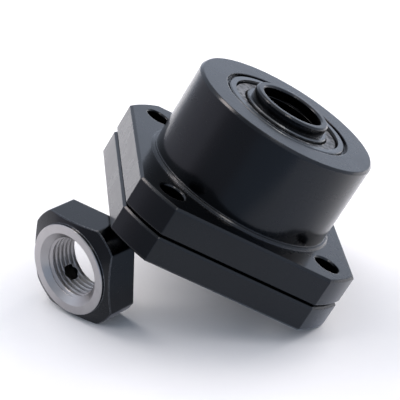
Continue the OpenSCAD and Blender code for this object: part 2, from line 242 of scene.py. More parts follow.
@dataclass(frozen=True)
class MetalFinish:
    """A machined metal surface: tool marks, cloudy tone, rubbed edges that can carry a
    painted highlight, painted shade in the bore, and a coat.

    The tool marks are waves with the feed as their length. A real feed of 0.1 mm
    would be finer than the render can show, so it is drawn three to five times as
    coarse and is kept shallow.

    Attributes:
        name: The material's name.
        tone_dark: Darker end of the cloudy colour.
        tone_light: Lighter end of it.
        worn_edge_highlight_tone: Colour of the rubbed edges, light enough on the nut to be a
            painted highlight.
        roughness: Roughness of the glossiest and of the dullest clouds.
        coat: Weight of the film of oil.
        coat_roughness: Roughness of that film.
        feed_mm: Distance of the tool marks.
        mark_depth_mm: Their depth.
        cloud_mm: Size of the clouds in colour and gloss.
        grain_mm: Size of the fine grain.
        grain_depth_mm: Its depth.
        edge_round_mm: Radius that gloss shows at the edges.
        worn_edge_highlight: How far the edges are rubbed and painted with highlight, from 0
            to 1.
        grazing_tone: What is left of the metal's gloss at a low angle.
        worn_edge_highlight_cosines: Cosines of the angle to the rounded edge's normal at
            which
        the rubbing and its painted highlight start and are whole.
        bore_shade_r_mm: Radius about the unit's axis out to which the bore is painted dark as
            shade, 0 for none.
        bore_shade_fade_mm: Width over which that painted shade ends.
        bore_shade_tone: Colour of the painted shade.
        cloud_range: The cloud noise's lowest and highest common values.
        path: Which way the tool marks run.
    """

    name: str
    tone_dark: str
    tone_light: str
    worn_edge_highlight_tone: str
    roughness: tuple[float, float]
    coat: float
    coat_roughness: float
    feed_mm: float
    mark_depth_mm: float
    cloud_mm: float
    grain_mm: float
    grain_depth_mm: float
    edge_round_mm: float
    worn_edge_highlight: float
    grazing_tone: str = "#ffffff"
    worn_edge_highlight_cosines: tuple[float, float] = (0.96, 0.92)
    bore_shade_r_mm: float = 0.0
    bore_shade_fade_mm: float = 0.3
    bore_shade_tone: str = "#101112"
    cloud_range: tuple[float, float] = (0.3, 0.7)
    path: MarkPath = MarkPath.TURNED_ON_Z

    def build(self) -> bpy.types.Material:
        """Builds the material.

        Returns:
            The finished material.
        """
        material, tree = new_tree(self.name)
        place = add_node(tree, "TexCoord")
        cloud, grain = (
            add_node(
                tree,
                "TexNoise",
                values={
                    "Vector": place.outputs["Object"],
                    "Scale": 1 / (size * MM),
                    "Detail": detail,
                    "Roughness": roughness,
                },
            ).outputs["Fac"]
            for size, detail, roughness in (
                (self.cloud_mm, 5.0, 0.6),
                (self.grain_mm, 2.0, 0.5),
            )
        )
        marks = self.tool_marks(tree, place)
        rounded = add_node(
            tree,
            "Bevel",
            {"samples": 6},
            {"Radius": self.edge_round_mm * MM},
        ).outputs["Normal"]
        normal = rounded
        for depth, height in ((self.mark_depth_mm, marks), (self.grain_depth_mm, grain)):
            normal = add_node(
                tree,
                "Bump",
                values={
                    "Strength": 1.0,
                    "Distance": depth * MM,
                    "Height": height,
                    "Normal": normal,
                },
            ).outputs["Normal"]
        # The edge mask: rubbed wear, and on the nut also a painted highlight line.
        rubbed = self.worn_and_highlit_edges(tree, rounded, grain)
        tone = add_node(
            tree,
            "Mix",
            {"data_type": "RGBA"},
            {"Factor": cloud, 6: linear(self.tone_dark), 7: linear(self.tone_light)},
        )
        worn_and_highlit_colour = add_node(
            tree,
            "Mix",
            {"data_type": "RGBA"},
            {"Factor": rubbed, 6: tone.outputs[2], 7: linear(self.worn_edge_highlight_tone)},
        )
        matt = add_node(
            tree,
            "MapRange",
            values={
                "Value": cloud,
                "From Min": self.cloud_range[0],
                "From Max": self.cloud_range[1],
                "To Min": self.roughness[0],
                "To Max": self.roughness[1],
            },
        )
        surface = add_node(
            tree,
            "BsdfPrincipled",
            values={
                "Base Color": self.painted_bore_shade(tree, place, worn_and_highlit_colour.outputs[2]),
                "Metallic": 1.0,
                "Roughness": matt.outputs["Result"],
                "Specular Tint": linear(self.grazing_tone),
                "Coat Weight": self.coat,
                "Coat Roughness": self.coat_roughness,
                "Normal": normal,
                "Coat Normal": rounded,
            },
        )
        add_node(tree, "OutputMaterial", values={"Surface": surface.outputs["BSDF"]})
        return material

    def tool_marks(
        self, tree: bpy.types.NodeTree, place: bpy.types.Node
    ) -> bpy.types.NodeSocket:
        """Adds the waves that the cutting tool left.

        Blender's wave turns by 20 times its scale for each metre, so a scale of two
        pi over 20 feeds gives one wave for each feed.

        Args:
            tree: The material's node tree.
            place: The texture coordinate node.

        Returns:
            The height of the marks, from 0 to 1.
        """
        if self.path is MarkPath.ALONG_PROFILE:
            return add_node(
                tree,
                "TexWave",
                {"wave_type": "BANDS", "bands_direction": "Y"},
                {
                    "Vector": place.outputs["UV"],
                    "Scale": math.tau / 20 / self.feed_mm,
                    "Distortion": 0.6,
                    "Detail": 1.0,
                    "Detail Scale": 0.4,
                },
            ).outputs["Fac"]
        rings, bands = (
            add_node(
                tree,
                "TexWave",
                {"wave_type": kind, kind.lower() + "_direction": "Z"},
                {
                    "Vector": place.outputs["Object"],
                    "Scale": math.tau / 20 / (self.feed_mm * MM),
                    "Distortion": 0.3,
                },
            ).outputs["Fac"]
            for kind in ("RINGS", "BANDS")
        )
        facing = add_node(tree, "SeparateXYZ", values={"Vector": place.outputs["Normal"]})
        across = add_node(tree, "Math", {"operation": "ABSOLUTE"}, {0: facing.outputs["Z"]})
        return add_node(
            tree,
            "Mix",
            values={"Factor": across.outputs[0], 2: bands, 3: rings},
        ).outputs[0]

    def painted_bore_shade(
        self, tree: bpy.types.NodeTree, place: bpy.types.Node, tone: bpy.types.NodeSocket
    ) -> bpy.types.NodeSocket:
        """Paints shade on the metal near the unit's axis, darkening the bore.

        The distance from the axis is the length of the X and Y coordinates. The painted shade
        is whole up to the finish's radius, and fades out over the width that follows.

        Args:
            tree: The material's node tree.
            place: The texture coordinate node.
            tone: The metal's colour.

        Returns:
            The colour with the painted shade over it.
        """
        if not self.bore_shade_r_mm:
            return tone
        level = add_node(
            tree,
            "VectorMath",
            {"operation": "MULTIPLY"},
            {0: place.outputs["Object"], 1: (1.0, 1.0, 0.0)},
        )
        radius = add_node(
            tree, "VectorMath", {"operation": "LENGTH"}, {0: level.outputs[0]}
        )
        # Painted shade: 1 in the bore, falling to 0 outside it.
        film = add_node(
            tree,
            "MapRange",
            values={
                "Value": radius.outputs["Value"],
                "From Min": self.bore_shade_r_mm * MM,
                "From Max": (self.bore_shade_r_mm + self.bore_shade_fade_mm) * MM,
                "To Min": 1.0,
                "To Max": 0.0,
            },
        )
        return add_node(
            tree,
            "Mix",
            {"data_type": "RGBA"},
            {"Factor": film.outputs["Result"], 6: tone, 7: linear(self.bore_shade_tone)},
        ).outputs[2]

    def worn_and_highlit_edges(
        self,
        tree: bpy.types.NodeTree,
        rounded: bpy.types.NodeSocket,
        grain: bpy.types.NodeSocket,
    ) -> bpy.types.NodeSocket:
        """Adds the mask of the edges: rubbed wear, and a painted highlight where the edge
        tone is light.

        The mask is one less the cosine between the true normal and the normal of a
        rounded edge, stretched, and broken up by the grain.

        Args:
            tree: The material's node tree.
            rounded: The normal with rounded edges.
            grain: The fine noise.

        Returns:
            The mask, from 0 to the finish's share of wear and painted highlight.
        """
        true_normal = add_node(tree, "NewGeometry")
        cosine = add_node(
            tree,
            "VectorMath",
            {"operation": "DOT_PRODUCT"},
            {0: true_normal.outputs["Normal"], 1: rounded},
        )
        edge = add_node(
            tree,
            "MapRange",
            values={
                "Value": cosine.outputs["Value"],
                "From Min": self.worn_edge_highlight_cosines[0],
                "From Max": self.worn_edge_highlight_cosines[1],
                "To Min": 0.0,
                "To Max": self.worn_edge_highlight,
            },
        )
        return add_node(
            tree,
            "Math",
            {"operation": "MULTIPLY", "use_clamp": True},
            {0: edge.outputs["Result"], 1: grain},
        ).outputs[0]


@dataclass(frozen=True)
class MouldedFinish:
    """A moulded polymer: a patchy tone from its flow, and a fine spark grain.

    Attributes:
        name: The material's name.
        tone_dark: Darker end of the patchy colour.
        tone_light: Lighter end of it.
        roughness: Middle of the roughness.
        cloud_mm: Size of the patches.
        grain_mm: Size of the spark grain.
        grain_depth_mm: Its depth.
        roughness_spread: How far the roughness goes up and down with the patches.
        patch_range: The patch noise's values at both ends of the colour.
        ior: Index of refraction of the polymer.
    """

    name: str
    tone_dark: str
    tone_light: str
    roughness: float
    cloud_mm: float
    grain_mm: float
    grain_depth_mm: float
    roughness_spread: float = 0.08
    patch_range: tuple[float, float] = (0.38, 0.62)
    ior: float = 1.53

    def build(self) -> bpy.types.Material:
        """Builds the material.

        Returns:
            The finished material.
        """
        material, tree = new_tree(self.name)
        place = add_node(tree, "TexCoord")
        cloud = add_node(
            tree,
            "TexNoise",
            values={
                "Vector": place.outputs["Object"],
                "Scale": 1 / (self.cloud_mm * MM),
                "Detail": 4.0,
            },
        )
        grain = add_node(
            tree,
            "TexNoise",
            values={"Vector": place.outputs["Object"], "Scale": 1 / (self.grain_mm * MM)},
        )
        patch = add_node(
            tree,
            "MapRange",
            values={
                "Value": cloud.outputs["Fac"],
                "From Min": self.patch_range[0],
                "From Max": self.patch_range[1],
            },
        )
        tone = add_node(
            tree,
            "Mix",
            {"data_type": "RGBA"},
            {
                "Factor": patch.outputs["Result"],
                6: linear(self.tone_dark),
                7: linear(self.tone_light),
            },
        )
        matt = add_node(
            tree,
            "MapRange",
            values={
                "Value": cloud.outputs["Fac"],
                "To Min": self.roughness - self.roughness_spread,
                "To Max": self.roughness + self.roughness_spread,
            },
        )
        bump = add_node(
            tree,
            "Bump",
            values={
                "Strength": 1.0,
                "Distance": self.grain_depth_mm * MM,
                "Height": grain.outputs["Fac"],
            },
        )
        surface = add_node(
            tree,
            "BsdfPrincipled",
            values={
                "Base Color": tone.outputs[2],
                "Roughness": matt.outputs["Result"],
                "IOR": self.ior,
                "Normal": bump.outputs["Normal"],
            },
        )
        add_node(tree, "OutputMaterial", values={"Surface": surface.outputs["BSDF"]})
        return material


# Black oxide on turned and milled carbon steel, with its film of oil: nearly black with
# a slight blue cast, a clear gloss that grows bright at a low angle, and greyer edges.
BLACK_OXIDE = MetalFinish(
    name="black_oxide_on_turned_steel",
    tone_dark="#121417",
    tone_light="#1a1d21",
    worn_edge_highlight_tone="#6d7076",
    roughness=(0.22, 0.34),
    coat=0.75,
    coat_roughness=0.14,
    feed_mm=0.4,
    mark_depth_mm=0.0006,
    cloud_mm=9.0,
    grain_mm=0.25,
    grain_depth_mm=0.0005,
    edge_round_mm=0.3,
    worn_edge_highlight=0.4,
    grazing_tone="#dedede",
)

# The same oxide on the nut, which is handled on its own: its marks follow its own axis,
# and its edges show as fine light lines, rubbed wear with a painted highlight.
BLACK_OXIDE_NUT = replace(
    BLACK_OXIDE,
    name="black_oxide_on_turned_nut",
    # Light edge colour that paints highlight lines on the nut's edges.
    worn_edge_highlight_tone="#94979c",
    roughness=(0.24, 0.36),
    coat_roughness=0.12,
    feed_mm=0.45,
    mark_depth_mm=0.0016,
    cloud_mm=6.0,
    grain_depth_mm=0.0009,
    edge_round_mm=0.22,
    # Whole edge mask, so the painted highlight lines show along every edge.
    worn_edge_highlight=1.0,
    worn_edge_highlight_cosines=(0.995, 0.96),
    path=MarkPath.ALONG_PROFILE,
)

# Black oxide on rolled fasteners: duller, because the blank was forged and tumbled.
BLACK_OXIDE_SCREW = MetalFinish(
    name="black_oxide_on_screws",
    tone_dark="#1a1b1d",
    tone_light="#26272a",
    worn_edge_highlight_tone="#63666b",
    roughness=(0.35, 0.5),
    coat=0.4,
    coat_roughness=0.25,
    feed_mm=0.3,
    mark_depth_mm=0.0004,
    cloud_mm=2.0,
    grain_mm=0.15,
    grain_depth_mm=0.0015,
    edge_round_mm=0.08,
    worn_edge_highlight=0.8,
)

# Chromium bearing steel, ground after hardening: neutral grey with fine rings, and painted
# black in the bore as shade.
GROUND_STEEL = MetalFinish(
    name="ground_bearing_steel",
    tone_dark="#505254",
    tone_light="#616365",
    worn_edge_highlight_tone="#7c7e80",
    roughness=(0.24, 0.34),
    coat=0.5,
    coat_roughness=0.2,
    feed_mm=0.3,
    mark_depth_mm=0.0006,
    cloud_mm=3.0,
    grain_mm=0.12,
    grain_depth_mm=0.0004,
    edge_round_mm=0.06,
    worn_edge_highlight=0.3,
    # Painted shade darkens the bore out to this radius from the axis.
    bore_shade_r_mm=6.1,
)

# Lapped bearing balls: mirror bright, with a film of grease that warms them a little.
LAPPED_BALLS = MetalFinish(
    name="lapped_ball_steel",
    tone_dark="#7d7a75",
    tone_light="#98948e",
    worn_edge_highlight_tone="#c8c8c8",
    roughness=(0.16, 0.24),
    coat=0.3,
    coat_roughness=0.1,
    feed_mm=0.3,
    mark_depth_mm=0.0,
    cloud_mm=1.5,
    grain_mm=0.2,
    grain_depth_mm=0.0001,
    edge_round_mm=0.02,
    worn_edge_highlight=0.0,
)

# Bare turned steel, faced after the oxide bath: warm grey, with rings that show.
BARE_STEEL = MetalFinish(
    name="bare_faced_steel",
    tone_dark="#bbb8b6",
    tone_light="#d3d0ce",
    worn_edge_highlight_tone="#f2f0ee",
    roughness=(0.28, 0.4),
    coat=0.0,
    coat_roughness=0.03,
    feed_mm=0.22,
    mark_depth_mm=0.0025,
    cloud_mm=2.5,
    grain_mm=0.15,
    grain_depth_mm=0.0012,
    edge_round_mm=0.06,
    worn_edge_highlight=0.7,
    path=MarkPath.ALONG_PROFILE,
)

# Free-cutting brass plug: dull and hardly warm, with its tone painted dark as the shade in
# its hole.
BRASS_PAINTED_WITH_SHADE = MetalFinish(
    name="brass_painted_with_shade",
    tone_dark="#3c3a38",
    tone_light="#55524d",
    worn_edge_highlight_tone="#6a6252",
    roughness=(0.45, 0.6),
    coat=0.0,
    coat_roughness=0.03,
    feed_mm=0.3,
    mark_depth_mm=0.0008,
    cloud_mm=1.5,
    grain_mm=0.12,
    grain_depth_mm=0.0004,
    edge_round_mm=0.05,
    worn_edge_highlight=0.4,
)

# Glass-filled polyamide of the cages: dark grey, mottled by its flow in the mould and
# slightly glossy.
POLYAMIDE = MouldedFinish(
    name="moulded_polyamide",
    tone_dark="#242527",
    tone_light="#7e7f83",
    roughness=0.42,
    cloud_mm=0.8,
    grain_mm=0.12,
    grain_depth_mm=0.004,
)

# Nitrile rubber of the lid's seal: black, with the dull bloom of moulded rubber.
NITRILE = MouldedFinish(
    name="moulded_nitrile_rubber",
    tone_dark="#121212",
    tone_light="#1e1d1c",
    roughness=0.6,
    cloud_mm=2.0,
    grain_mm=0.2,
    grain_depth_mm=0.006,
)


# ---------- The unit ----------


@dataclass
class HousingAssembly:
    """Flanged housing, lid, lid screws and seal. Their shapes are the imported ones."""

    plates: tuple[str, ...] = ("housing", "retaining_lid")
    screws: tuple[str, ...] = ("lid_screws",)
    seals: tuple[str, ...] = ("lid_seal",)

    def dress_all(self, oxide: bpy.types.Material) -> None:
        """Gives the pieces their finishes.

        Args:
            oxide: The oxidised steel of the large pieces.
        """
        dress(self.plates, oxide)
        dress(self.screws, BLACK_OXIDE_SCREW.build())
        dress(self.seals, NITRILE.build())


@dataclass
class BearingPair:
    """Both angular contact bearings."""

    rings: tuple[str, ...] = (
        "front_outer_ring",
        "front_inner_ring",
        "rear_outer_ring",
        "rear_inner_ring",
    )
    balls: tuple[str, ...] = ("front_balls", "rear_balls")
    cages: tuple[str, ...] = ("front_ball_cage", "rear_ball_cage")

    def dress_all(self, ground: bpy.types.Material) -> None:
        """Gives the pieces their finishes.

        Args:
            ground: The ground steel of the rings.
        """
        dress(self.rings, ground)
        dress(self.balls, LAPPED_BALLS.build())
        dress(self.cages, POLYAMIDE.build())


@dataclass
class SleeveStack:
    """Collars and spacer on the journal."""

    collars: tuple[str, ...] = ("front_collar", "rear_collar")
    spacers: tuple[str, ...] = ("inner_spacer",)

    def dress_all(self, oxide: bpy.types.Material, ground: bpy.types.Material) -> None:
        """Gives the sleeves their finishes.

        Args:
            oxide: The oxidised steel of the collars.
            ground: The ground steel of the spacer.
        """
        dress(self.collars, oxide)
        dress(self.spacers, ground)


@dataclass
class Resting:
    """How the unit leans on the nut, which gives the floor. In millimetres."""

    flange_w: float = 44.0
    edge_chamfer: float = 0.4
    prop_inset: float = 2.7
    nut_w: float = 19.0
    lid_face: float = -11.5

    @property
    def tilt(self) -> float:
        """Angle of the unit's axis to the floor's upright, in radians."""
        span = self.flange_w - self.edge_chamfer - self.prop_inset
        return math.asin(self.nut_w / span)

    @property
    def upright(self) -> Vector:
        """The floor's upright, in the row's frame."""
        return Vector((-math.sin(self.tilt), 0.0, math.cos(self.tilt)))

    @property
    def edge(self) -> Vector:
        """A point on the lid's lower right edge, which lies on the floor."""
        return Vector((self.flange_w / 2 - self.edge_chamfer, 0.0, self.lid_face))


# ---------- The lock nut ----------


class NutSlot(Enum):
    """Material slots of the nut."""

    OXIDE = 0
    BARE = 1


@dataclass
class LockNut:
    """Lock nut turned from a round bar with four flats, with a cut metric thread.

    In the nut's own frame its front face is at z = 0 and looks along +Z, and a flat
    faces +X. Every size is in millimetres.

    Attributes:
        width: Distance of two flats.
        corner_d: Diameter of the bar, left at the corners.
        thickness: Whole height, the boss included.
        face_d: Diameter of the bare front face.
        boss_h: Height of the boss under it.
        cone_angle: Slope of the shoulder, in degrees.
        thread_d: Thread's root diameter.
        pitch: Thread's pitch.
        core_d: Thread's core diameter.
        mouth_d: Diameter of the countersink in front.
        back_mouth: Width of the one at the back.
        edge_break: Size of the broken edges.
        screw_d: Diameter of the set screw's hole.
        screw_depth: Its distance from the front face.
        screw_turn: Turn of its corner, in degrees.
        turns_of_points: Even columns of the grid.
        points_per_pitch: Rows for each pitch of the thread.
        flat_end_rad: Half the angle between the two columns at the end of a flat.
        drill_over: How far the cutter starts inside the core and ends outside the bar.
        drill_sides: Sides of the cutter.
        weld: Distance below which the cutter's points are joined.
        name: Name of the piece.
    """

    width: float = 19.0
    corner_d: float = 22.4
    thickness: float = 7.5
    face_d: float = 17.3
    boss_h: float = 0.7
    cone_angle: float = 20.0
    thread_d: float = 12.0
    pitch: float = 1.0
    core_d: float = 10.92
    mouth_d: float = 14.0
    back_mouth: float = 0.35
    edge_break: float = 0.12
    screw_d: float = 3.0
    screw_depth: float = 4.9
    screw_turn: float = 135.0
    turns_of_points: int = 240
    points_per_pitch: int = 14
    flat_end_rad: float = 0.006
    drill_over: tuple[float, float] = (1.5, 1.0)
    drill_sides: int = 64
    weld: float = 0.002
    name: str = "lock_nut_threaded"

    def columns(self) -> np.ndarray:
        """Angles of the grid's columns: even steps, with the ends of each flat added.

        Returns:
            Sorted angles, in radians.
        """
        even = np.arange(self.turns_of_points) / self.turns_of_points * math.tau
        half = math.acos(self.width / self.corner_d)
        flats = np.arange(4)[:, None, None] * math.pi / 2
        sides = np.array([-half, half])[None, :, None]
        pair = np.array([-self.flat_end_rad, self.flat_end_rad])[None, None, :]
        ends = (flats + sides + pair).ravel() % math.tau
        distance = np.abs((even[:, None] - ends[None, :] + math.pi) % math.tau - math.pi)
        far = distance.min(axis=1) > 1.5 * self.flat_end_rad
        return np.sort(np.concatenate([even[far], ends]))

    def outline(self, angle: np.ndarray) -> np.ndarray:
        """Radius of the turned corners, or of the flats where they are nearer.

        A flat at half the width is that over the cosine of the angle to its normal,
        which is the larger of the angle's sine and cosine.

        Args:
            angle: Angles about the nut's axis.

        Returns:
            The radius at each angle.
        """
        to_flat = np.maximum(np.abs(np.cos(angle)), np.abs(np.sin(angle)))
        return np.minimum(self.corner_d / 2, self.width / 2 / to_flat)

    def thread(self, angle: np.ndarray, height: np.ndarray) -> np.ndarray:
        """Radius of a right-hand metric thread at each angle and height.

        The phase is the height over the pitch less the angle's share of a turn. The
        section is a 60 degree ramp from the core, up for 5/16 of a pitch, along the
        root for an eighth, down again, and along the core's crest for a quarter.

        Args:
            angle: Angles about the nut's axis.
            height: Height of the row.

        Returns:
            The radius at each angle.
        """
        phase = (height / self.pitch - angle / math.tau) % 1.0
        ramp = np.clip((0.375 - np.abs(phase - 0.5)) / 0.3125, 0.0, 1.0)
        return (self.core_d + (self.thread_d - self.core_d) * ramp) / 2

    def profile_rows(self, angle: np.ndarray) -> tuple[list[Row], list[NutSlot]]:
        """Rows of the closed skin, from the mouth over the front, side and back.

        Args:
            angle: The columns' angles.

        Returns:
            Radius and height of each row, and the slot of the quads after each row.
        """
        rows: list[Row] = []
        slots: list[NutSlot] = []
        shape = angle.shape

        def add(radius: Measure, height: Measure, slot: NutSlot) -> None:
            """Adds one row of the skin."""
            rows.append((np.broadcast_to(radius, shape), np.broadcast_to(height, shape)))
            slots.append(slot)

        edge = self.edge_break
        slope = math.tan(math.radians(self.cone_angle))
        side = self.outline(angle)
        face_r, mouth_r, back_r = self.face_d / 2, self.mouth_d / 2, self.core_d / 2
        shoulder = -self.boss_h - (side - face_r) * slope
        add(mouth_r, 0.0, NutSlot.BARE)
        for share in (0.25, 0.5, 0.75):
            add(mouth_r + (face_r - edge - mouth_r) * share, 0.0, NutSlot.BARE)
        add(face_r - edge, 0.0, NutSlot.BARE)
        add(face_r, -edge, NutSlot.OXIDE)
        for share in (0.0, 0.33, 0.66):
            radius = face_r + (side - edge - face_r) * share
            add(radius, -self.boss_h - (radius - face_r) * slope, NutSlot.OXIDE)
        add(side - edge, shoulder + edge * slope, NutSlot.OXIDE)
        add(side, shoulder - edge, NutSlot.OXIDE)
        back = -self.thickness
        for share in (0.33, 0.66):
            add(side, (shoulder - edge) * (1 - share) + (back + edge) * share, NutSlot.OXIDE)
        add(side, back + edge, NutSlot.OXIDE)
        add(side - edge, back, NutSlot.OXIDE)
        add((side + back_r) / 2, back, NutSlot.OXIDE)
        add(back_r + self.back_mouth, back, NutSlot.BARE)
        steps = round(self.thickness / self.pitch * self.points_per_pitch)
        for height in np.linspace(back, 0.0, steps + 1)[1:-1]:
            cone = max(mouth_r + height, back_r + self.back_mouth - (height - back))
            add(np.maximum(self.thread(angle, height), cone), height, NutSlot.BARE)
        return rows, slots

    def place(self, upright: Vector) -> Matrix:
        """The nut's own frame in the row's frame, in millimetres.

        The thread's mount gives the axis and the middle of the thread's wall. The flat
        on top looks along the floor's upright.

        Args:
            upright: The floor's upright.

        Returns:
            The 4 by 4 matrix.
        """
        mount = next(m for m in frame["record"]["mounts"] if m["name"] == "nut_thread")
        axis = Vector(mount["axis"]).normalized()
        wall = self.thickness - (self.mouth_d - self.core_d) / 2
        front = Vector(mount["pos_m"]) / MM + axis * (self.thickness - wall / 2)
        across = (upright - axis * upright.dot(axis)).normalized()
        turned = Matrix((across, axis.cross(across), axis)).transposed()
        return Matrix.Translation(front) @ turned.to_4x4()

    def build(self, upright: Vector) -> bpy.types.Object:
        """Makes the nut with its thread and the set screw's hole.

        A point at an angle, radius and height is (radius times the cosine, radius
        times the sine, height). The pattern's second direction is the length along
        the profile, the sum of the steps between rows.

        Args:
            upright: The floor's upright.

        Returns:
            The nut, in place.
        """
        angle = self.columns()
        rows, slots = self.profile_rows(angle)
        radius = np.stack([r for r, _ in rows])
        height = np.stack([h for _, h in rows])
        points = np.stack([radius * np.cos(angle), radius * np.sin(angle), height], axis=-1)
        wrapped = np.concatenate([points, points[:1]])
        step = np.linalg.norm(np.diff(wrapped, axis=0), axis=-1).mean(axis=1)
        along = np.concatenate([[0.0], np.cumsum(step)])
        around = np.append(angle, math.tau) * self.corner_d / 2
        pattern = np.stack(np.broadcast_arrays(around[None, :], along[:, None]), axis=-1)
        matrix = self.place(upright)
        turn = np.array(matrix.to_3x3())
        placed = (points @ turn.T + np.array(matrix.translation)) * MM
        nut = grid_mesh(
            self.name,
            placed,
            (True, True),
            np.array([s.value for s in slots]),
            pattern,
        )
        nut.data.materials.append(BLACK_OXIDE_NUT.build())
        nut.data.materials.append(BARE_STEEL.build())
        self.drill(nut, matrix)
        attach(nut, "base")
        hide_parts("lock_nut")
        log.info("%s: %d faces", nut.name, len(nut.data.polygons))
        return nut

    def drill(self, nut: bpy.types.Object, matrix: Matrix) -> None:
        """Cuts the set screw's hole through one turned corner, as a boolean.

        The cutter is two rings of points about a line from the axis, at the distances
        of its ends, each closed by a row of points at its middle.

        Args:
            nut: The nut's object.
            matrix: The nut's own frame, in millimetres.
        """
        around = np.arange(self.drill_sides) / self.drill_sides * math.tau
        inside, outside = self.drill_over
        reach = np.array([self.core_d / 2 - inside, self.corner_d / 2 + outside])
        across = self.screw_d / 2 * np.cos(around)
        along = -self.screw_d / 2 * np.sin(around) - self.screw_depth
        ring = np.stack(np.broadcast_arrays(reach[:, None], across, along), axis=-1)
        middle = ring.mean(axis=1, keepdims=True) + np.zeros_like(ring)
        tube = np.concatenate([middle[:1], ring, middle[1:]])
        spin = Matrix.Rotation(math.radians(self.screw_turn), 4, "Z")
        whole = matrix @ spin
        turn = np.array(whole.to_3x3())
        drill = grid_mesh(
            "drill", (tube @ turn.T + np.array(whole.translation)) * MM, (False, True)
        )
        merge = drill.modifiers.new("merge", "WELD")
        merge.merge_threshold = self.weld * MM
        cut = nut.modifiers.new("set_screw_hole", "BOOLEAN")
        cut.operation = "DIFFERENCE"
        cut.solver = "EXACT"
        cut.object = drill
        graph = bpy.context.evaluated_depsgraph_get()
        mesh = bpy.data.meshes.new_from_object(nut.evaluated_get(graph))
        nut.modifiers.clear()
        old = nut.data
        nut.data = mesh
        mesh.name = old.name + "_drilled"
        bpy.data.meshes.remove(old)
        bpy.data.objects.remove(drill)

    def dress_screw(self) -> None:
        """Gives the set screw and its soft plug their finishes."""
        dress(("set_screw",), BLACK_OXIDE_SCREW.build())
        # The plug's dark brass is painted shade of its hole.
        dress(("set_piece",), BRASS_PAINTED_WITH_SHADE.build())


# ---------- Floor, light and camera ----------


@dataclass(frozen=True)
class WallTone:
    """Colour of the room's wall at one turn, and how far it veils the paper."""

    turn_deg: float
    colour: str
    veil: float


class LampUse(Enum):
    """What a lamp is for."""

    FLOOR = "lights the paper and the dull pieces, and isn't seen in gloss"
    GLINT = "is seen in gloss only"


@dataclass(frozen=True)
class Lamp:
    """A soft square lamp that looks at the unit, with its direction and its width."""

    name: str
    turn_deg: float
    height_deg: float
    width: float
    watts: float
    colour: str
    use: LampUse


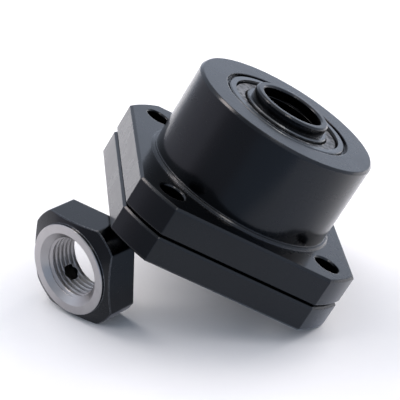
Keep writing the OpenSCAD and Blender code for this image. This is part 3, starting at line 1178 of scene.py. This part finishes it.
@dataclass
class Studio:
    """Floor, soft lamps, a room that only gloss shows, and the camera.

    Directions are given by a turn about the floor's upright, from the camera's side
    and positive to its right, and by a height above the floor. Lengths are in
    millimetres.

    Attributes:
        resting: How the unit leans on the nut.
        camera_at: Place of the camera.
        camera_to: Where it looks, as a unit vector.
        camera_up: Its upright, as a unit vector.
        lens: Focal length for a sensor of 36 mm.
        middle: What the lamps look at.
        floor_gap: How far the floor lies under what rests on it.
        floor_rings: Radius of each ring of the floor's points.
        room_r: Radius of the room.
        room_gap: How far its rows along the paper lie above it.
        room_rows: Nearest and furthest row near the unit, and the first one further out.
        papers: Darker and lighter colour of the paper.
        fibre_mm: Size of the clouds of both.
        paper_lift: Light that the paper gives of its own where it is seen.
        room_tone: Colour of the light that comes from everywhere.
        room_light: Its strength.
        lamp_distance: Distance of the lamps from what they look at.
        wall_heights: Heights in degrees between which the wall turns to the ceiling.
        front_turns: Turns between which the front of the room fades in, and out.
        front_shade: How much darker the ceiling is in front.
        veil_span: Distances between which the room veils the paper.
        front_veil_span: The same in front, where the paper ends nearer.
        walls: The wall's tones, by turn.
        lamps: The lamps.
    """

    resting: Resting
    camera_at: tuple[float, float, float] = (-92.665, -254.104, 94.487)
    camera_to: tuple[float, float, float] = (0.3043, 0.8864, -0.3488)
    camera_up: tuple[float, float, float] = (-0.4081, 0.4522, 0.7931)
    lens: float = 139.5
    middle: tuple[float, float, float] = (0.0, 0.0, 3.0)
    floor_gap: float = 0.02
    floor_rings: tuple[float, ...] = (0.0, 30.0, 60.0, 120.0, 240.0, 480.0, 900.0)
    room_r: float = 640.0
    room_gap: float = 0.3
    room_rows: tuple[float, float, float] = (5.0, 150.0, 170.0)
    papers: tuple[str, str] = ("#f4f4f8", "#f8f8fb")
    fibre_mm: float = 4.0
    paper_lift: float = 0.03
    room_tone: str = "#d2e6ff"
    room_light: float = 0.42
    lamp_distance: float = 450.0
    wall_heights: tuple[float, float] = (14.0, 34.0)
    front_turns: tuple[float, float, float, float] = (-92.0, -58.0, 12.0, 52.0)
    front_shade: float = 0.5
    veil_span: tuple[float, float] = (200.0, 470.0)
    front_veil_span: tuple[float, float] = (60.0, 110.0)
    walls: tuple[WallTone, ...] = (
        WallTone(-180, "#d5dff1", 0.1),
        WallTone(-150, "#d5dff1", 0.1),
        WallTone(-138, "#b3b6c5", 0.1),
        WallTone(-127, "#afb1bd", 0.15),
        WallTone(-116, "#bec0cf", 0.25),
        WallTone(-105, "#c8c8d7", 0.35),
        WallTone(-81, "#c8c8d7", 0.5),
        WallTone(-69, "#9898a5", 0.6),
        WallTone(-57, "#878b98", 0.6),
        WallTone(-35, "#878b98", 0.6),
        WallTone(-24, "#909caf", 0.6),
        WallTone(9, "#98a6bc", 0.6),
        WallTone(32, "#a8b8d3", 0.55),
        WallTone(60, "#b3c0db", 0.35),
        WallTone(85, "#d5dff1", 0.05),
        WallTone(180, "#d5dff1", 0.1),
    )
    lamps: tuple[Lamp, ...] = (
        Lamp("left_lamp", -78, 52, 340, 0.56, "#fff6ee", LampUse.FLOOR),
        Lamp("right_lamp", 80, 45, 340, 0.56, "#fff6ee", LampUse.FLOOR),
        Lamp("left_back_lamp", -130, 42, 340, 1.25, "#fff8f2", LampUse.FLOOR),
        Lamp("right_back_lamp", 130, 42, 340, 1.34, "#fff8f2", LampUse.FLOOR),
        Lamp("left_glint", -100, 66, 150, 0.56, "#fff2ee", LampUse.GLINT),
        Lamp("right_glint", 53, 59, 80, 0.12, "#fff8f2", LampUse.GLINT),
    )

    def direction(self, turn_deg: float, height_deg: float) -> Vector:
        """Unit vector towards a turn and height above the floor.

        It is the cosine of the height times the turned level direction, plus the sine
        of the height times the upright.

        Args:
            turn_deg: The turn, in degrees.
            height_deg: The height, in degrees.

        Returns:
            The vector, in the row's frame.
        """
        up = self.resting.upright
        level = -Vector(self.camera_to)
        level = (level - up * level.dot(up)).normalized()
        right = up.cross(level)
        turn, height = math.radians(turn_deg), math.radians(height_deg)
        flat = level * math.cos(turn) + right * math.sin(turn)
        return flat * math.cos(height) + up * math.sin(height)

    def build_floor(self) -> None:
        """Makes the paper floor, as a flat disc of rings round the unit.

        A point of a ring is the foot, plus the radius times the cosine of its angle
        towards the camera, plus the radius times the sine to the camera's right, less
        the gap.
        """
        up = self.resting.upright
        level = self.direction(0, 0)
        side = up.cross(level)
        radius = np.array(self.floor_rings)[:, None]
        angle = np.linspace(0, math.tau, 97)[:-1][None, :]
        points = (
            self.foot()
            - self.floor_gap * np.array(up)
            + (radius * np.cos(angle))[..., None] * np.array(level)
            + (radius * np.sin(angle))[..., None] * np.array(side)
        )
        floor = grid_mesh("floor", points * MM, (False, True))
        floor.data.materials.append(self.paper_material())
        log.info("floor: tilted by %.2f degrees", math.degrees(self.resting.tilt))

    def paper_material(self) -> bpy.types.Material:
        """White background paper, dull and even, with a fine fibre cloud.

        Seen by the camera or in a gloss it gives a little light of its own, so that
        it ends in white and still keeps the shadow. It isn't there from below.

        Returns:
            The finished material.
        """
        material, tree = new_tree("background_paper")
        place = add_node(tree, "TexCoord")
        fibre = add_node(
            tree,
            "TexNoise",
            values={
                "Vector": place.outputs["Object"],
                "Scale": 1 / (self.fibre_mm * MM),
                "Detail": 3.0,
            },
        )
        tone = add_node(
            tree,
            "Mix",
            {"data_type": "RGBA"},
            {
                "Factor": fibre.outputs["Fac"],
                6: linear(self.papers[0]),
                7: linear(self.papers[1]),
            },
        )
        paper = add_node(tree, "BsdfDiffuse", values={"Color": tone.outputs[2]})
        lift = add_node(
            tree,
            "Math",
            {"operation": "MULTIPLY"},
            {0: shown_rays(tree), 1: self.paper_lift},
        )
        glow = add_node(
            tree,
            "Emission",
            values={"Color": WHITE, "Strength": lift.outputs[0]},
        )
        lit = add_node(tree, "AddShader", values={0: paper.outputs[0], 1: glow.outputs[0]})
        clear = add_node(tree, "BsdfTransparent")
        side = add_node(tree, "NewGeometry")
        both = add_node(
            tree,
            "MixShader",
            values={0: side.outputs["Backfacing"], 1: lit.outputs[0], 2: clear.outputs[0]},
        )
        add_node(tree, "OutputMaterial", values={"Surface": both.outputs[0]})
        return material

    def build_sweep(self) -> None:
        """Makes the room that gloss shows beyond the paper, as one curved sweep.

        Each column of the grid lies at one turn. Its first rows lie along the paper, at
        rising distance, and the later ones climb a dome to its top.
        The colour is the wall's at that turn, drawn straight between the table's, and
        turns to the ceiling's as a smooth step in the height. The ceiling is the first
        wall's colour, darker in front. The veil is 0 where the paper shows and 1 where
        the room does. It rises from the wall's own veil as a smooth step in the
        distance, which starts nearer in front.
        """
        up = self.resting.upright
        level = self.direction(0, 0)
        turn = np.radians(np.arange(-180.0, 180.0, 5.0))[None, :]
        first, last, further = self.room_rows
        distance = np.concatenate(
            [np.linspace(first, last, 30), np.linspace(further, self.room_r, 20)]
        )
        height = np.radians(np.linspace(0, 90, 25)[1:])
        out = np.concatenate([distance, self.room_r * np.cos(height)])[:, None]
        rise = np.concatenate([0 * distance, self.room_r * np.sin(height)])[:, None]
        ahead = np.cos(turn)[..., None] * np.array(level)
        aside = np.sin(turn)[..., None] * np.array(up.cross(level))
        above = (rise + self.room_gap)[..., None] * np.array(up)
        points = self.foot() + out[..., None] * (ahead + aside) + above
        degrees = np.degrees(turn)
        stops = [wall.turn_deg for wall in self.walls]
        tones = np.array([linear(wall.colour)[:3] for wall in self.walls])
        low = np.stack([np.interp(degrees, stops, tones[:, k]) for k in range(3)], axis=-1)
        haze = np.interp(degrees, stops, [wall.veil for wall in self.walls])
        climb = np.degrees(np.arctan2(rise, out))
        share = smooth_step(climb, *self.wall_heights)[..., None] * np.ones((1, turn.size, 1))
        fades = self.front_turns
        near = smooth_step(degrees, *fades[:2]) * (1 - smooth_step(degrees, *fades[2:]))
        ceiling = (1 - self.front_shade * near[..., None]) * tones[0]
        shade = (1 - share) * low + share * ceiling
        spans = zip(self.veil_span, self.front_veil_span)
        starts, ends = (far + (close - far) * near for far, close in spans)
        veil = haze + (1 - haze) * smooth_step(out, starts, ends)
        sweep = grid_mesh("room_sweep", points * MM, (False, True))
        colour = sweep.data.attributes.new("room", "FLOAT_COLOR", "POINT")
        rgba = np.concatenate([shade, veil[..., None]], axis=-1).astype(np.float32)
        colour.data.foreach_set("color", rgba.ravel())
        material, tree = new_tree("room_beyond_the_paper")
        room = add_node(tree, "Attribute", {"attribute_name": "room"})
        glow = add_node(tree, "Emission", values={"Color": room.outputs["Color"]})
        clear = add_node(tree, "BsdfTransparent")
        both = add_node(
            tree,
            "MixShader",
            values={0: room.outputs["Alpha"], 1: clear.outputs[0], 2: glow.outputs[0]},
        )
        add_node(tree, "OutputMaterial", values={"Surface": both.outputs[0]})
        sweep.data.materials.append(material)
        for ray in ("camera", "diffuse", "transmission", "shadow", "volume_scatter"):
            setattr(sweep, "visible_" + ray, False)

    def foot(self) -> np.ndarray:
        """The point of the floor under the unit's middle, straight down.

        It is the middle, less the upright times the height of the middle over the
        lid's edge.

        Returns:
            The point, in millimetres.
        """
        up, edge = self.resting.upright, self.resting.edge
        middle = Vector(self.middle)
        return np.array(middle - up * (middle - edge).dot(up))

    def build_lamp(self, lamp: Lamp) -> None:
        """Adds one lamp.

        Args:
            lamp: What it is.
        """
        data = bpy.data.lights.new(lamp.name, "AREA")
        data.shape = "SQUARE"
        data.size = lamp.width * MM
        data.energy = lamp.watts
        data.color = linear(lamp.colour)[:3]
        made = bpy.data.objects.new(lamp.name, data)
        bpy.context.scene.collection.objects.link(made)
        towards = self.direction(lamp.turn_deg, lamp.height_deg)
        made.location = (Vector(self.middle) + towards * self.lamp_distance) * MM
        made.rotation_euler = towards.to_track_quat("Z", "Y").to_euler()
        made.visible_glossy = lamp.use is LampUse.GLINT
        made.visible_diffuse = lamp.use is LampUse.FLOOR
        log.info("%s: %s", lamp.name, lamp.use.value)

    def build_world(self) -> None:
        """Lights the room evenly, and shows white to the camera and to gloss."""
        world = bpy.data.worlds.new("studio_room")
        bpy.context.scene.world = world
        world.use_nodes = True
        tree = world.node_tree
        tree.nodes.clear()
        room = add_node(
            tree,
            "Background",
            values={"Color": linear(self.room_tone), "Strength": self.room_light},
        )
        white = add_node(tree, "Background", values={"Color": WHITE, "Strength": 1.0})
        both = add_node(
            tree,
            "MixShader",
            values={0: shown_rays(tree), 1: room.outputs[0], 2: white.outputs[0]},
        )
        add_node(tree, "OutputWorld", values={"Surface": both.outputs[0]})

    def build_camera(self) -> None:
        """Puts the camera where the unit is seen from, with no blur."""
        data = bpy.data.cameras.new("camera")
        data.lens = self.lens
        data.sensor_width = 36.0
        data.clip_start, data.clip_end = 0.01, 10.0
        camera = bpy.data.objects.new("camera", data)
        bpy.context.scene.collection.objects.link(camera)
        back = -Vector(self.camera_to).normalized()
        up = Vector(self.camera_up)
        right = up.cross(back).normalized()
        turned = Matrix((right, back.cross(right), back)).transposed()
        place = Matrix.Translation(Vector(self.camera_at) * MM)
        camera.matrix_world = place @ turned.to_4x4()
        bpy.context.scene.camera = camera

    def build(self) -> None:
        """Makes the whole studio."""
        self.build_floor()
        self.build_sweep()
        for lamp in self.lamps:
            self.build_lamp(lamp)
        self.build_world()
        self.build_camera()
        bpy.context.scene.view_settings.view_transform = "Standard"


# ---------- Putting it together ----------


def main() -> None:
    """Builds each sub-assembly in order, and the studio."""
    logging.basicConfig(level=logging.INFO, format="%(name)s: %(message)s")
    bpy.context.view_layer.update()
    resting = Resting()
    oxide, ground = BLACK_OXIDE.build(), GROUND_STEEL.build()
    HousingAssembly().dress_all(oxide)
    BearingPair().dress_all(ground)
    SleeveStack().dress_all(oxide, ground)
    nut = LockNut()
    nut.build(resting.upright)
    nut.dress_screw()
    Studio(resting).build()


if __name__ == "__main__":
    main()
